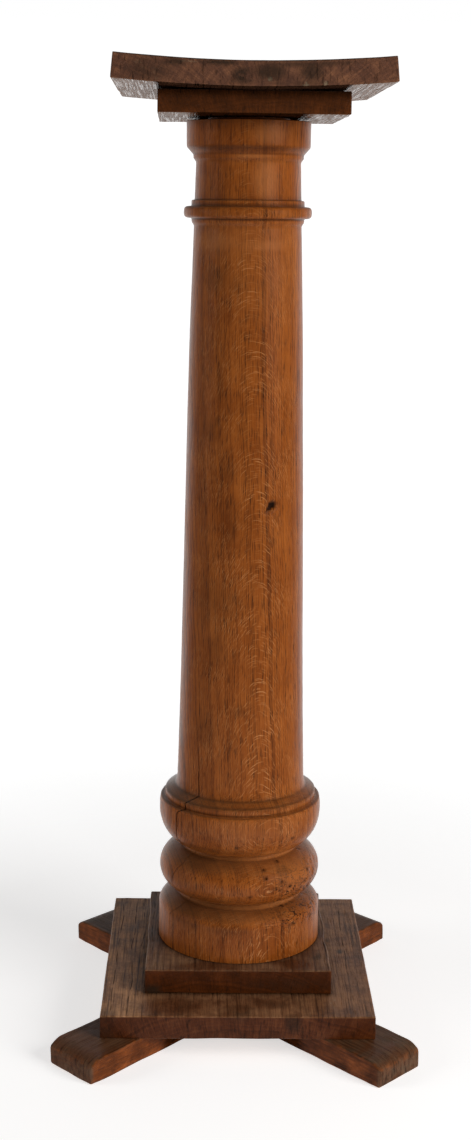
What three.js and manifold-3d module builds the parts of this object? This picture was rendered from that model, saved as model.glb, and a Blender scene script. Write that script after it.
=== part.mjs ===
// A turned oak column that stands between two pairs of boards on two crossed foot bars.
// Millimetres, +Z up. The front faces -Y, and the boards' grain runs from front to back.
// The origin is on the floor, in the middle of the space that the foot bars take up.

import * as THREE from 'three';
import { mergeVertices } from 'three/addons/utils/BufferGeometryUtils.js';
import Module from 'manifold-3d';

const wasm = await Module();
wasm.setup();

// Driving dimensions

const boardWidth = 300;
const plateWidth = 207;
// The boards have shrunk across their grain, so they are a little longer along it.
const grainRatio = 1.04;

const footThickness = 26;
const baseThickness = 25.5;
const plinthThickness = 27;
const columnHeight = 946.45;
const upperThickness = 25.25;
const topThickness = 27.2;

// The turning has dried oval: it is narrower from front to back than from side to side.
const ovalRatio = 0.94;

// Arrises are worn to a small bevel.
const arris = 1;

// Each piece was set by hand, a few millimetres off the column's axis.
const basePlace = { x: -2.6, y: -1.4 };
const plinthPlace = { x: -2.4, y: 3.5 };
const upperPlace = { x: 1.4, y: 0.2 };
const topPlace = { x: 0.1, y: -0.3 };
const upperTurn = THREE.MathUtils.degToRad(1.1);
const topTurn = THREE.MathUtils.degToRad(0.8);

// The heights of the pieces' undersides follow from the thicknesses.
const baseLevel = footThickness;
const plinthLevel = baseLevel + baseThickness;
const columnLevel = plinthLevel + plinthThickness;
const upperLevel = columnLevel + columnHeight;
const topLevel = upperLevel + upperThickness;

// Colours, one material for each piece

const woods = {
  column: { color: 0x8a4a20, roughness: 0.42 },
  board: { color: 0x4a2a1c, roughness: 0.6 },
  dusty: { color: 0x5a4538, roughness: 0.75 },
  foot: { color: 0x5c3218, roughness: 0.5 },
};

function pieceOf(name, geometry, wood) {
  const material = new THREE.MeshStandardMaterial({ ...wood, metalness: 0 });
  const mesh = new THREE.Mesh(geometry, material);
  mesh.name = name;
  return mesh;
}

// Outlines

function bevelled(depth) {
  return {
    depth: depth - 2 * arris,
    bevelEnabled: true,
    bevelThickness: arris,
    bevelSize: arris,
    bevelOffset: -arris,
    bevelSegments: 1,
    curveSegments: 8,
  };
}

// A flat board lying on its underside, with its outline given in plan.
function flatBoard(corners, thickness) {
  const outline = new THREE.Shape(corners.map(([x, y]) => new THREE.Vector2(x, y)));
  const geometry = new THREE.ExtrudeGeometry(outline, bevelled(thickness));
  geometry.translate(0, 0, arris);
  return geometry;
}

// Foot bars: half-lapped over each other under the base board, and laid along its diagonals.
// The top of each end is eased by a long low curve.

const barLength = 499.5;
const barWidth = 67.5;
const easeLength = 18;
const easeDrop = 9;
const lapGap = 0.3;
const diagonal = Math.atan(grainRatio);
const barCrossing = { x: -8, y: -3.6 };

// A bar's middle lies a little along it from the crossing.
const lowerBar = { turn: diagonal, slide: -1.8 };
const upperBar = { turn: -diagonal, slide: 7.5 };

function barMiddle(bar) {
  return {
    x: barCrossing.x + bar.slide * Math.cos(bar.turn),
    y: barCrossing.y + bar.slide * Math.sin(bar.turn),
  };
}

function barBlank() {
  const half = barLength / 2;
  const side = new THREE.Shape();
  side.moveTo(-half, 0);
  side.lineTo(half, 0);
  side.lineTo(half, footThickness - easeDrop);
  side.absellipse(half - easeLength, footThickness - easeDrop, easeLength, easeDrop, 0, Math.PI / 2);
  side.lineTo(easeLength - half, footThickness);
  side.absellipse(easeLength - half, footThickness - easeDrop, easeLength, easeDrop, Math.PI / 2, Math.PI);
  side.lineTo(-half, 0);
  const geometry = new THREE.ExtrudeGeometry(side, bevelled(barWidth));
  geometry.rotateX(Math.PI / 2);
  geometry.translate(0, barWidth / 2 - arris, 0);
  return geometry;
}

function solidOf(geometry) {
  const bare = geometry.clone();
  bare.deleteAttribute('normal');
  bare.deleteAttribute('uv');
  const merged = mergeVertices(bare);
  return new wasm.Manifold(new wasm.Mesh({
    numProp: 3,
    vertProperties: new Float32Array(merged.attributes.position.array),
    triVerts: new Uint32Array(merged.index.array),
  }));
}

function geometryOf(solid) {
  const mesh = solid.getMesh();
  const geometry = new THREE.BufferGeometry();
  geometry.setAttribute('position', new THREE.BufferAttribute(new Float32Array(mesh.vertProperties), 3));
  geometry.setIndex(new THREE.BufferAttribute(new Uint32Array(mesh.triVerts), 1));
  geometry.computeVertexNormals();
  return geometry;
}

// The notch for the other bar, seen from this bar's own place and turn.
function barWithNotch(bar, other, notchIsOnTop) {
  const notch = new THREE.BoxGeometry(barLength, barWidth + 2 * lapGap, footThickness);
  const rise = (footThickness - lapGap) / 2;
  notch.translate(0, 0, notchIsOnTop ? footThickness / 2 + rise : footThickness / 2 - rise);
  notch.rotateZ(other.turn - bar.turn);
  notch.translate(-bar.slide, 0, 0);
  return geometryOf(solidOf(barBlank()).subtract(solidOf(notch)));
}

function footBar(name, bar, other, notchIsOnTop) {
  const piece = pieceOf(name, barWithNotch(bar, other, notchIsOnTop), woods.foot);
  const middle = barMiddle(bar);
  piece.position.set(middle.x, middle.y, 0);
  piece.rotation.z = bar.turn;
  return piece;
}

// The middle of the floor space that the bars take up, which becomes the origin.
function footprintMiddle() {
  const box = new THREE.Box2();
  for (const bar of [lowerBar, upperBar]) {
    const middle = barMiddle(bar);
    for (const along of [-1, 1]) {
      for (const across of [-1, 1]) {
        const corner = new THREE.Vector2(along * barLength / 2, across * barWidth / 2);
        corner.rotateAround(new THREE.Vector2(0, 0), bar.turn);
        box.expandByPoint(corner.add(new THREE.Vector2(middle.x, middle.y)));
      }
    }
  }
  return box.getCenter(new THREE.Vector2());
}

// Base board: a worn nick in its back edge, near the left corner.

const nick = { fromLeft: 11, width: 7, depth: 2.5 };

function baseBoard() {
  const halfX = boardWidth / 2;
  const halfY = halfX * grainRatio;
  const corners = [
    [-halfX, -halfY],
    [halfX, -halfY],
    [halfX, halfY],
    [nick.fromLeft + nick.width - halfX, halfY],
    [nick.fromLeft + nick.width / 2 - halfX, halfY - nick.depth],
    [nick.fromLeft - halfX, halfY],
    [-halfX, halfY],
  ];
  const piece = pieceOf('base_plate', flatBoard(corners, baseThickness), woods.dusty);
  piece.position.set(basePlace.x, basePlace.y, baseLevel);
  return piece;
}

// Plinth plate: its back right corner has chipped off.

const cornerChip = { x: 4, y: 7 };

function plinthPlate() {
  const halfX = plateWidth / 2;
  const halfY = halfX * grainRatio;
  const corners = [
    [-halfX, -halfY],
    [halfX, -halfY],
    [halfX, halfY - cornerChip.y],
    [halfX - cornerChip.x, halfY],
    [-halfX, halfY],
  ];
  const piece = pieceOf('plinth_plate', flatBoard(corners, plinthThickness), woods.dusty);
  piece.position.set(plinthPlace.x, plinthPlace.y, plinthLevel);
  return piece;
}

// Column: one turning. Heights are measured up from the column's own foot.

const turningSides = 48;

const footMember = { radius: 93.1, side: 37.4, top: 53.4, neck: 72 };
const lowerTorus = { radius: 92.6, middle: 84, halfHeight: 24.8, root: 66.8 };
const upperTorus = { radius: 93.4, middle: 153.5, below: 39.6, root: 63.8, above: 12.6, topRadius: 91.8 };
const baseFillet = { radius: 86.8, bottom: 166.1, top: 174.4 };
const shaftFoot = { ledgeRadius: 76.4, ledge: 180.1, radius: 73.1, top: 197 };

// The shaft tapers by a sixth of its width, on a slightly swelling line.
const shaftStations = [
  [73.1, 197], [71.1, 278], [69.2, 419], [66.7, 559], [64.6, 696], [62.8, 765], [60.9, 826.5],
];

const lowerFillet = { radius: 63.7, bottom: 830.2, top: 834.8 };
const astragal = { radius: 72.4, middle: 841.3, halfHeight: 6.8, root: 64.3, squareness: 3.2 };
const upperFillet = { radius: 63.9, bottom: 848.2, top: 854.6 };
const neck = { bottomRadius: 60.3, topRadius: 59.1, top: 897.6 };
const smallBead = { radius: 62.2, middle: 901.8, top: 905.6 };
const capital = { radius: 69.9, bottom: 914.4, topRadius: 70.2 };

// The upper plate bears on a low round seat, so that a thin gap shows above the capital's rim.
const seat = { radius: 46, rise: 3.2 };

// Points on a quarter of a (super)ellipse, from angle a to angle b in quarter turns.
function quarter(centreRadius, centreHeight, reach, rise, steps, a, b, squareness = 2) {
  const points = [];
  for (let i = 0; i <= steps; i += 1) {
    const angle = (a + (b - a) * i / steps) * Math.PI / 2;
    const out = Math.abs(Math.cos(angle)) ** (2 / squareness);
    const up = Math.abs(Math.sin(angle)) ** (2 / squareness) * Math.sign(Math.sin(angle));
    points.push(new THREE.Vector2(centreRadius + reach * out, centreHeight + rise * up));
  }
  return points;
}

function turnedOutline() {
  const at = (radius, height) => new THREE.Vector2(radius, height);
  const shaftLine = new THREE.SplineCurve(shaftStations.map(([radius, height]) => at(radius, height)));
  const torusReach = lowerTorus.radius - lowerTorus.root;
  return [
    at(0, 0),
    at(footMember.radius, 0),
    ...quarter(footMember.neck, footMember.side, footMember.radius - footMember.neck,
      footMember.top - footMember.side, 5, 0, 1),
    ...quarter(lowerTorus.root, lowerTorus.middle, torusReach, lowerTorus.halfHeight, 14, -1, 1),
    ...quarter(upperTorus.root, upperTorus.middle, upperTorus.radius - upperTorus.root,
      upperTorus.below, 8, -1, 0),
    ...quarter(upperTorus.topRadius, upperTorus.middle, upperTorus.radius - upperTorus.topRadius,
      upperTorus.above, 3, 0, 1).slice(1),
    at(baseFillet.radius, baseFillet.bottom + 0.4),
    at(baseFillet.radius, baseFillet.top),
    ...quarter(shaftFoot.ledgeRadius, shaftFoot.top, shaftFoot.radius - shaftFoot.ledgeRadius,
      shaftFoot.ledge - shaftFoot.top, 4, 1, 0),
    ...shaftLine.getPoints(14).slice(1),
    at(lowerFillet.radius, lowerFillet.bottom),
    at(lowerFillet.radius, lowerFillet.top),
    ...quarter(astragal.root, astragal.middle, astragal.radius - astragal.root,
      astragal.halfHeight, 8, -1, 1, astragal.squareness),
    at(upperFillet.radius, upperFillet.bottom),
    at(upperFillet.radius, upperFillet.top),
    at(neck.bottomRadius, upperFillet.top + 0.6),
    at(neck.topRadius, neck.top),
    at(smallBead.radius, smallBead.middle),
    at(smallBead.radius, smallBead.top),
    at(capital.radius, capital.bottom),
    at(capital.topRadius, columnHeight - seat.rise),
    at(seat.radius, columnHeight - seat.rise),
    at(seat.radius, columnHeight),
    at(0, columnHeight),
  ];
}

function column() {
  const geometry = new THREE.LatheGeometry(turnedOutline(), turningSides);
  geometry.rotateX(Math.PI / 2);
  geometry.scale(1, ovalRatio, 1);
  const piece = pieceOf('column', geometry, woods.column);
  piece.position.z = columnLevel;
  return piece;
}

// Upper plate: a square plate that bears on the column's seat.

function upperPlate() {
  const halfX = plateWidth / 2;
  const halfY = halfX * grainRatio;
  const corners = [[-halfX, -halfY], [halfX, -halfY], [halfX, halfY], [-halfX, halfY]];
  const piece = pieceOf('upper_plate', flatBoard(corners, upperThickness), woods.board);
  piece.position.set(upperPlace.x, upperPlace.y, upperLevel);
  piece.rotation.z = upperTurn;
  return piece;
}

// Top board: it has cupped across its grain, so both ends curl up off the plate.
// Its section is bent on an arc, in an odd number of flats, and the middle flat is level.

const cupRise = 6.9;
const cupFlats = 15;

function topBoard() {
  const bendRadius = (boardWidth / 2) ** 2 / (2 * cupRise);
  const bendAngle = boardWidth / 2 / bendRadius;
  const flatHalf = bendAngle / cupFlats;
  const heightAt = (radius, angle) => bendRadius - radius * Math.cos(angle);
  const bedHeight = heightAt(bendRadius, flatHalf);
  const arc = (radius) => {
    const points = [];
    for (let i = 0; i <= cupFlats; i += 1) {
      const angle = flatHalf * (2 * i - cupFlats);
      points.push(new THREE.Vector2(radius * Math.sin(angle), heightAt(radius, angle) - bedHeight));
    }
    return points;
  };
  const section = new THREE.Shape([...arc(bendRadius), ...arc(bendRadius - topThickness).reverse()]);
  const depth = boardWidth * grainRatio;
  const geometry = new THREE.ExtrudeGeometry(section, { depth, bevelEnabled: false });
  geometry.rotateX(Math.PI / 2);
  geometry.translate(0, depth / 2, 0);
  const piece = pieceOf('top_board', geometry, woods.board);
  piece.position.set(topPlace.x, topPlace.y, topLevel);
  piece.rotation.z = topTurn;
  return piece;
}

// Everything is placed from the column's axis, then moved so that the feet are centred.

const stand = new THREE.Group();
stand.add(footBar('foot_bar_lower', lowerBar, upperBar, true));
stand.add(footBar('foot_bar_upper', upperBar, lowerBar, false));
stand.add(baseBoard());
stand.add(plinthPlate());
stand.add(column());
stand.add(upperPlate());
stand.add(topBoard());

const middle = footprintMiddle();
stand.position.set(-middle.x, -middle.y, 0);

const object = new THREE.Group();
object.add(stand);

export default object;
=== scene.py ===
# An old oak display column: a turned shaft between two pairs of boards, on two crossed foot bars.
# Sizes are in millimetres until a mesh is made, and in metres for floor, lamps and camera. The
# front faces -Y, and +X is to the right of it.

import math

import bpy
import numpy as np
from mathutils import Matrix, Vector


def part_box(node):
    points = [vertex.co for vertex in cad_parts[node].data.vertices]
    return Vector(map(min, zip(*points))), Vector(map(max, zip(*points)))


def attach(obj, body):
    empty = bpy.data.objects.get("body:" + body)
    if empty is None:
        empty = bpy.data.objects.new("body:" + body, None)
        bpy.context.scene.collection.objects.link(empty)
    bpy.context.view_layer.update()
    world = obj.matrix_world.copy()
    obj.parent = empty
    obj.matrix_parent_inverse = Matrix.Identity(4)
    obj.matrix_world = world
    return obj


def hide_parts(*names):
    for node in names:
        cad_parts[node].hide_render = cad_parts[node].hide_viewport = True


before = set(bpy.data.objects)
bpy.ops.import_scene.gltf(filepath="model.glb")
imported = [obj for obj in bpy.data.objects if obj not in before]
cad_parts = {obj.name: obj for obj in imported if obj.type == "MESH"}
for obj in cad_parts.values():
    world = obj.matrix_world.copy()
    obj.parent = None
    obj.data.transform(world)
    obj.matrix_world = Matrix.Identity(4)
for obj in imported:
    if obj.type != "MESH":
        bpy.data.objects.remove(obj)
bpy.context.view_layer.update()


# Foot bars
# Two oak bars, half-lapped over each other where they cross under the base board, which they
# carry. They are sawn and planed, and the top of each end is eased by a long low curve.

MM = 0.001


def linear(hex_colour):
    """The linear RGBA of an sRGB colour such as "8a5a30"."""
    parts = [int(hex_colour[i:i + 2], 16) / 255 for i in (0, 2, 4)]
    return tuple(p / 12.92 if p <= 0.04045 else ((p + 0.055) / 1.055) ** 2.4 for p in parts) + (1.0,)


def node(tree, kind, inputs=None, stops=None, **settings):
    """Adds a shader node. An input is given by name or number, as a value or as what feeds it."""
    made = tree.nodes.new("ShaderNode" + kind)
    for name, value in settings.items():
        setattr(made, name, value)
    if stops:
        while len(made.color_ramp.elements) < len(stops):
            made.color_ramp.elements.new(1.0)
        for element, (place, colour) in zip(made.color_ramp.elements, stops):
            element.position = place
            element.color = colour
    for name, value in (inputs or {}).items():
        if isinstance(name, str):
            socket = next(s for s in made.inputs if s.name == name and s.enabled)
        else:
            socket = made.inputs[name]
        if isinstance(value, bpy.types.Node):
            value = next(s for s in value.outputs if s.enabled)
        if isinstance(value, bpy.types.NodeSocket):
            tree.links.new(value, socket)
        else:
            socket.default_value = value
    return made


def blank_tree(owner):
    """The emptied node tree of a material or a world."""
    owner.use_nodes = True
    owner.node_tree.nodes.clear()
    return owner.node_tree


def add_object(name, data):
    """Puts an object made of this mesh, lamp or camera into the scene."""
    made = bpy.data.objects.new(name, data)
    bpy.context.scene.collection.objects.link(made)
    return made


def smooth(value, low, high):
    """Rises smoothly from 0 at low to 1 at high."""
    t = np.clip((value - low) / (high - low), 0, 1)
    return t * t * (3 - 2 * t)


def unevenness(points, length, seed):
    """A smooth random field, mostly between -1 and 1, with swells of about the given length."""
    random = np.random.default_rng(seed)
    waves = 18
    direction = random.normal(size=(waves, 3))
    direction /= np.linalg.norm(direction, axis=1, keepdims=True)
    rate = 2 * np.pi / (np.asarray(length) * random.uniform(0.7, 1.8, (waves, 1)))
    phase = random.uniform(0, 2 * np.pi, waves)
    return np.sin(points @ (direction * rate).T + phase).sum(1) / math.sqrt(waves)


def grid_lines(low, high, spacing):
    """Places for grid lines: even, but closer together at both ends, where an arris is rounded."""
    edge = np.array([0, 0.3, 0.7, 1.2, 1.8, 2.6, 3.8])
    inner = high - low - 2 * edge[-1]
    even = low + edge[-1] + inner * np.linspace(0, 1, max(2, round(inner / spacing) + 1))[1:-1]
    return np.concatenate([low + edge, even, (high - edge)[::-1]])


def box_grid(xs, ys, zs):
    """Points and quads of a closed box whose grid lines are at the given places."""
    counts = [len(xs), len(ys), len(zs)]
    keys, quads, start = [], [], 0
    for axis in range(3):
        a, b = (axis + 1) % 3, (axis + 2) % 3
        i, j = np.meshgrid(np.arange(counts[a]), np.arange(counts[b]), indexing="ij")
        number = np.arange(i.size).reshape(i.shape)
        ring = np.stack([number[:-1, :-1], number[1:, :-1], number[1:, 1:], number[:-1, 1:]], -1)
        ring = ring.reshape(-1, 4)
        for side in (0, counts[axis] - 1):
            key = np.zeros((i.size, 3), int)
            key[:, axis] = side
            key[:, a] = i.ravel()
            key[:, b] = j.ravel()
            keys.append(key)
            quads.append((ring if side else ring[:, ::-1]) + start)
            start += i.size
    keys, home = np.unique(np.concatenate(keys), axis=0, return_inverse=True)
    points = np.stack([xs[keys[:, 0]], ys[keys[:, 1]], zs[keys[:, 2]]], 1)
    return points, home.ravel()[np.concatenate(quads)].tolist()


def worn_arrises(points, low, high, radius):
    """Rounds the edges of a box to the radius given for each point, and says how near an edge is."""
    low, high = np.array(low), np.array(high)
    core = np.clip(points, low + radius[:, None], high - radius[:, None])
    away = points - core
    rounded = core + away * (radius / np.linalg.norm(away, axis=1))[:, None]
    gaps = np.sort(np.minimum(points - low, high - points), axis=1)
    return rounded, np.exp(-gaps[:, 1] / 2.5)


def turned_and_placed(points, turn, middle, level):
    """The points, turned about the upright axis and set down on their place."""
    return points @ np.array(Matrix.Rotation(turn, 3, "Z")).T + (*middle, level)


def add_piece(cad_node, slot, material, points, faces, grain, sharp=38, **masks):
    """Makes the mesh, in place, with the wood's own coordinates and wear as point attributes."""
    mesh = bpy.data.meshes.new(cad_node)
    mesh.from_pydata((points * MM).tolist(), [], faces)
    mesh.attributes.new("grain", "FLOAT_VECTOR", "POINT").data.foreach_set("vector", grain.ravel())
    for mask, values in masks.items():
        mesh.attributes.new(mask, "FLOAT", "POINT").data.foreach_set("value", np.clip(values, 0, 1))
    mesh.shade_smooth()
    mesh.set_sharp_from_angle(angle=math.radians(sharp))
    mesh.materials.append(material)
    piece = add_object(cad_node, mesh)
    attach(piece, "root")
    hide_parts(cad_node)


def middle_and_levels(cad_node):
    """Where a piece lies: the middle of its plan, and the heights of its underside and top."""
    low, high = (np.array(corner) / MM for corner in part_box(cad_node))
    return (low[:2] + high[:2]) / 2, low[2], high[2]


def board_oak(name, light, mid, dark, dusty, pith, rings=0.25, rays=0.5, dust=0.85):
    """Flat-sawn oak, planed and stained: growth rings, rays and open pores, with dust above."""
    material = bpy.data.materials.new(name)
    tree = blank_tree(material)
    grain = node(tree, "Attribute", attribute_name="grain").outputs["Vector"]
    masks = {mask: node(tree, "Attribute", attribute_name=mask).outputs["Fac"]
             for mask in ("film", "edge", "grime", "stain", "chip")}

    # Noise, each kind with its size in mm across, along and up the board, its detail and its
    # roughness. Pores are 0.3 mm wide in life, and drawn 0.8 mm wide so that they show. Streaks
    # are lines of open grain. Saw marks are torn lines some 3 mm apart.
    noise = {}
    for kind, size, detail, roughness in (
            ("sway", (70, 260, 70), 2.0, 0.5), ("pores", (0.8, 20, 0.8), 2.0, 0.6),
            ("streaks", (2.6, 110, 12), 3.0, 0.5), ("saw marks", (2.0, 130, 6), 2.0, 0.5),
            ("blotches", (26, 26, 26), 6.0, 0.68), ("scuffs", (6, 6, 6), 3.0, 0.5),
            ("specks", (2.2, 2.2, 2.2), 2.0, 0.5)):
        place = node(tree, "VectorMath", {0: grain, 1: tuple(1 / s for s in size)}, operation="MULTIPLY")
        noise[kind] = node(tree, "TexNoise", {
            "Vector": place, "Scale": 1.0, "Detail": detail, "Roughness": roughness})

    # The pith lies under the board, at an across and a depth, and rises a little along it.
    year_width = 2.6
    sway_reach = 16.0
    across, along, up = node(tree, "SeparateXYZ", {0: grain}).outputs
    side = node(tree, "Math", {0: across, 1: pith[0]}, operation="SUBTRACT")
    rise = node(tree, "Math", {0: up, 1: pith[1]}, operation="SUBTRACT")
    flat = node(tree, "CombineXYZ", {"X": side, "Y": rise})
    radius = node(tree, "VectorMath", {0: flat}, operation="LENGTH").outputs["Value"]
    tilted = node(tree, "Math", {0: along, 1: pith[2], 2: radius}, operation="MULTIPLY_ADD")
    ring = node(tree, "Math", {0: noise["sway"], 1: sway_reach, 2: tilted}, operation="MULTIPLY_ADD")
    years = node(tree, "Math", {0: ring, 1: year_width}, operation="DIVIDE")
    year_tone = node(tree, "TexNoise", {"W": years, "Scale": 0.8, "Detail": 3.0}, noise_dimensions="1D")

    # Rays run out from the pith, and show as fine lines on the end grain.
    ray_gap = 1.1
    pith_distance = abs(pith[1]) + 13
    bearing = node(tree, "Math", {0: side, 1: rise}, operation="ARCTAN2")
    ray_place = node(tree, "CombineXYZ", {"X": bearing, "Y": radius, "Z": along})
    ray_place = node(tree, "VectorMath", {0: ray_place, 1: (pith_distance / ray_gap, 1 / 16, 1 / 9)},
                     operation="MULTIPLY")
    ray_tone = node(tree, "TexNoise", {"Vector": ray_place, "Scale": 1.0, "Detail": 1.0})

    pores, lines, saw_marks = (
        node(tree, "MapRange", {"Value": noise[kind], "From Min": low, "From Max": high},
             interpolation_type="SMOOTHSTEP")
        for kind, low, high in (("pores", 0.5, 0.66), ("streaks", 0.56, 0.7), ("saw marks", 0.38, 0.5)))
    tone = noise["blotches"]
    for part, weight in ((year_tone, rings), (ray_tone, rays)):
        tone = node(tree, "Math", {0: part, 1: weight, 2: tone}, operation="MULTIPLY_ADD")
    average = 0.5 * (1 + rings + rays)
    tone = node(tree, "MapRange", {"Value": tone, "From Min": average - 0.36, "From Max": average + 0.36})
    wood = node(tree, "ValToRGB", {0: tone}, stops=[
        (0.0, linear(dark)), (0.5, linear(mid)), (1.0, linear(light))])

    # Dust lies in a thin film, worn through in places.
    film = node(tree, "MapRange", {"Value": noise["blotches"], "From Min": 0.38, "From Max": 0.58,
                                   "To Min": 0.4 * dust, "To Max": dust})
    film = node(tree, "Math", {0: film, 1: masks["film"]}, operation="MULTIPLY")
    film_colour = node(tree, "ValToRGB", {0: noise["streaks"]}, stops=[
        (0.35, linear(dusty[0])), (0.65, linear(dusty[1]))])

    # Arrises are rubbed lighter in places, and chips show fresher wood.
    rubbed = node(tree, "MapRange", {"Value": noise["scuffs"], "From Min": 0.46, "From Max": 0.64,
                                     "To Max": 0.45})
    rubbed = node(tree, "Math", {0: rubbed, 1: masks["edge"]}, operation="MULTIPLY")
    fresh = node(tree, "Math", {0: masks["chip"], 1: noise["specks"]}, operation="MULTIPLY")
    fresh = node(tree, "MapRange", {"Value": fresh, "From Min": 0.16, "From Max": 0.5, "To Max": 0.85})

    # Old spills are greenish black and ragged. Dirt fills the pores and open grain. Painted shade
    # darkens the wood where other pieces stand on, beside or over it, and splits are dark.
    ragged = node(tree, "MapRange", {"Value": noise["blotches"], "From Min": 0.39, "From Max": 0.5})
    spilt = node(tree, "Math", {0: ragged, 1: masks["stain"]}, operation="MULTIPLY")
    dirt_and_shade = 0.0
    for part, weight in ((lines, 0.5), (pores, 0.26), (masks["grime"], 0.7)):
        dirt_and_shade = node(tree, "Math", {0: part, 1: weight, 2: dirt_and_shade}, operation="MULTIPLY_ADD", use_clamp=True)

    # The underside is bare and rough sawn.
    facing = node(tree, "SeparateXYZ", {0: node(tree, "NewGeometry").outputs["Normal"]}).outputs["Z"]
    below = node(tree, "MapRange", {"Value": facing, "From Min": -0.4, "From Max": -0.9})
    sawn = node(tree, "Math", {0: saw_marks, 1: below}, operation="MULTIPLY")
    bare = node(tree, "Math", {0: masks["grime"], 1: -0.6, 2: 0.6}, operation="MULTIPLY_ADD")
    bare = node(tree, "Math", {0: bare, 1: below}, operation="MULTIPLY")

    surface = wood
    for share, colour in ((film, film_colour), (rubbed, linear(light)), (fresh, linear("9c866a")),
                          (spilt, linear("28221a")), (dirt_and_shade, linear("180d07")),
                          (bare, linear("966a46"))):
        surface = node(tree, "Mix", {"Factor": share, "A": surface, "B": colour}, data_type="RGBA")

    # Stain has a low sheen. Dust, pores and saw marks are rougher, and saw marks, splits and the
    # painted shade mirror hardly anything.
    gloss = node(tree, "MapRange", {"Value": film, "To Min": 0.42, "To Max": 0.6})
    for part, weight in ((below, -0.2), (sawn, 0.12), (pores, 0.2)):
        gloss = node(tree, "Math", {0: part, 1: weight, 2: gloss}, operation="MULTIPLY_ADD")
    mirror = 0.5
    for part, weight in ((below, -0.25), (sawn, -0.22)):
        mirror = node(tree, "Math", {0: part, 1: weight, 2: mirror}, operation="MULTIPLY_ADD")
    clear_of_shade_and_grime = node(tree, "Math", {0: 1.0, 1: masks["grime"]}, operation="SUBTRACT")
    mirror = node(tree, "Math", {0: mirror, 1: clear_of_shade_and_grime}, operation="MULTIPLY")
    relief = node(tree, "Math", {0: year_tone, 1: pores}, operation="SUBTRACT")
    relief = node(tree, "Math", {0: relief, 1: sawn}, operation="SUBTRACT")
    bump = node(tree, "Bump", {"Height": relief, "Strength": 0.5, "Distance": 0.3 * MM})
    shader = node(tree, "BsdfPrincipled", {
        "Base Color": surface, "Roughness": gloss, "IOR": 1.48, "Specular IOR Level": mirror,
        "Normal": bump})
    node(tree, "OutputMaterial", {"Surface": shader})
    return material


# Oiled oak: warm red brown on the sawn sides, and brown grey with trodden dust on top.
foot_oak = board_oak("foot_oak_oiled", light="a0521a", mid="6c340c", dark="351806",
                     dusty=("6b523d", "423122"), pith=(4.0, -40.0, 0.02), rings=0.3, rays=0.3,
                     dust=0.95)

bar_length = 499.5
bar_width = 67.5
ease_length = 18
ease_drop = 9
lap_gap = 0.3
grain_ratio = 1.04
diagonal = math.atan(grain_ratio)

# Each bar: its turn, how far its middle lies along it from the crossing, where it is notched, and
# how dusty it is.
bars = {
    "foot_bar_lower": {"turn": diagonal, "slide": -1.8, "notch": "top", "seed": 11, "dusty": 0.82},
    "foot_bar_upper": {"turn": -diagonal, "slide": 7.5, "notch": "underside", "seed": 12, "dusty": 1.0},
}

for name, bar in bars.items():
    middle, floor_level, bar_top = middle_and_levels(name)
    thickness = bar_top - floor_level
    half = bar_length / 2
    wall = (bar_width / 2 + lap_gap) / math.cos(2 * diagonal - math.pi / 2)
    skew = math.tan(2 * diagonal - math.pi / 2) * (1 if bar["turn"] > 0 else -1)
    xs = grid_lines(-half, half, 3.2)
    walls = [-bar["slide"] + side * wall + step for side in (-1, 1) for step in (-0.05, 0.05)]
    xs = np.sort(np.concatenate([[x for x in xs if min(abs(x - w) for w in walls) > 1], walls]))
    points, faces = box_grid(xs, grid_lines(-bar_width / 2, bar_width / 2, 2.6),
                             grid_lines(0, thickness, 2.6))
    # The ends have been kicked round, the long arrises less so.
    kicked = smooth(np.abs(points[:, 0]), half - 14, half - 4)
    worn = np.clip(1.6 + 0.7 * unevenness(points, 35, bar["seed"]), 0.8, 3) + 1.6 * kicked
    points, edge = worn_arrises(points, (-half, -bar_width / 2, 0),
                                (half, bar_width / 2, thickness), worn)
    from_end = np.clip((np.abs(points[:, 0]) - half + ease_length) / ease_length, 0, 1)
    top = thickness - ease_drop * (1 - np.sqrt(1 - from_end ** 2))
    points[:, 2] *= top / thickness
    from_lap = points[:, 0] + bar["slide"]
    lapped = np.abs(from_lap) < wall
    left = (thickness - lap_gap) / 2 / thickness
    if bar["notch"] == "top":
        points[lapped, 2] *= left
    else:
        points[lapped, 2] = thickness - (thickness - points[lapped, 2]) * left
    film = np.maximum(smooth(points[:, 2] / top, 0.93, 0.99),
                      smooth(np.abs(points[:, 0]), half - 5, half - 1)) * bar["dusty"]
    points[:, 0] += skew * points[:, 1] * (1 - smooth(np.abs(from_lap), 36, 90))
    # The grain runs along the bar, and each bar is another stretch of the timber.
    grain = points[:, [1, 0, 2]] + (0, 300 * bar["slide"], 0)
    points = turned_and_placed(points, bar["turn"], middle, floor_level)
    # Painted shade under the base board, where the bars run beneath it.
    under_base = smooth(150 - np.abs(from_lap), -4, 12)
    blank = np.zeros(len(points))
    add_piece(name, "foot_oak", foot_oak, points, faces, grain, edge=edge, film=film,
              grime=under_base, stain=blank, chip=blank)


# Base board and plinth plate
# Two square boards of stained oak under the column, the larger one below. Each is sawn from one
# wide plank, with the grain from front to back, and they lie flat on each other and on the bars.

# Stained oak, dull with old dust: pale brown tops with dark open grain, and red brown sides.
base_oak = board_oak("base_oak_dusty", light="76401d", mid="56280e", dark="321607",
                     dusty=("d7a072", "9e7453"), pith=(14.0, -260.0, 0.05), rings=0.35, dust=0.9)
plinth_oak = board_oak("plinth_oak_dusty", light="6f3611", mid="4e240a", dark="2f1606",
                       dusty=("9c7656", "6c503c"), pith=(-22.0, -220.0, 0.04), rings=0.35)


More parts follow.
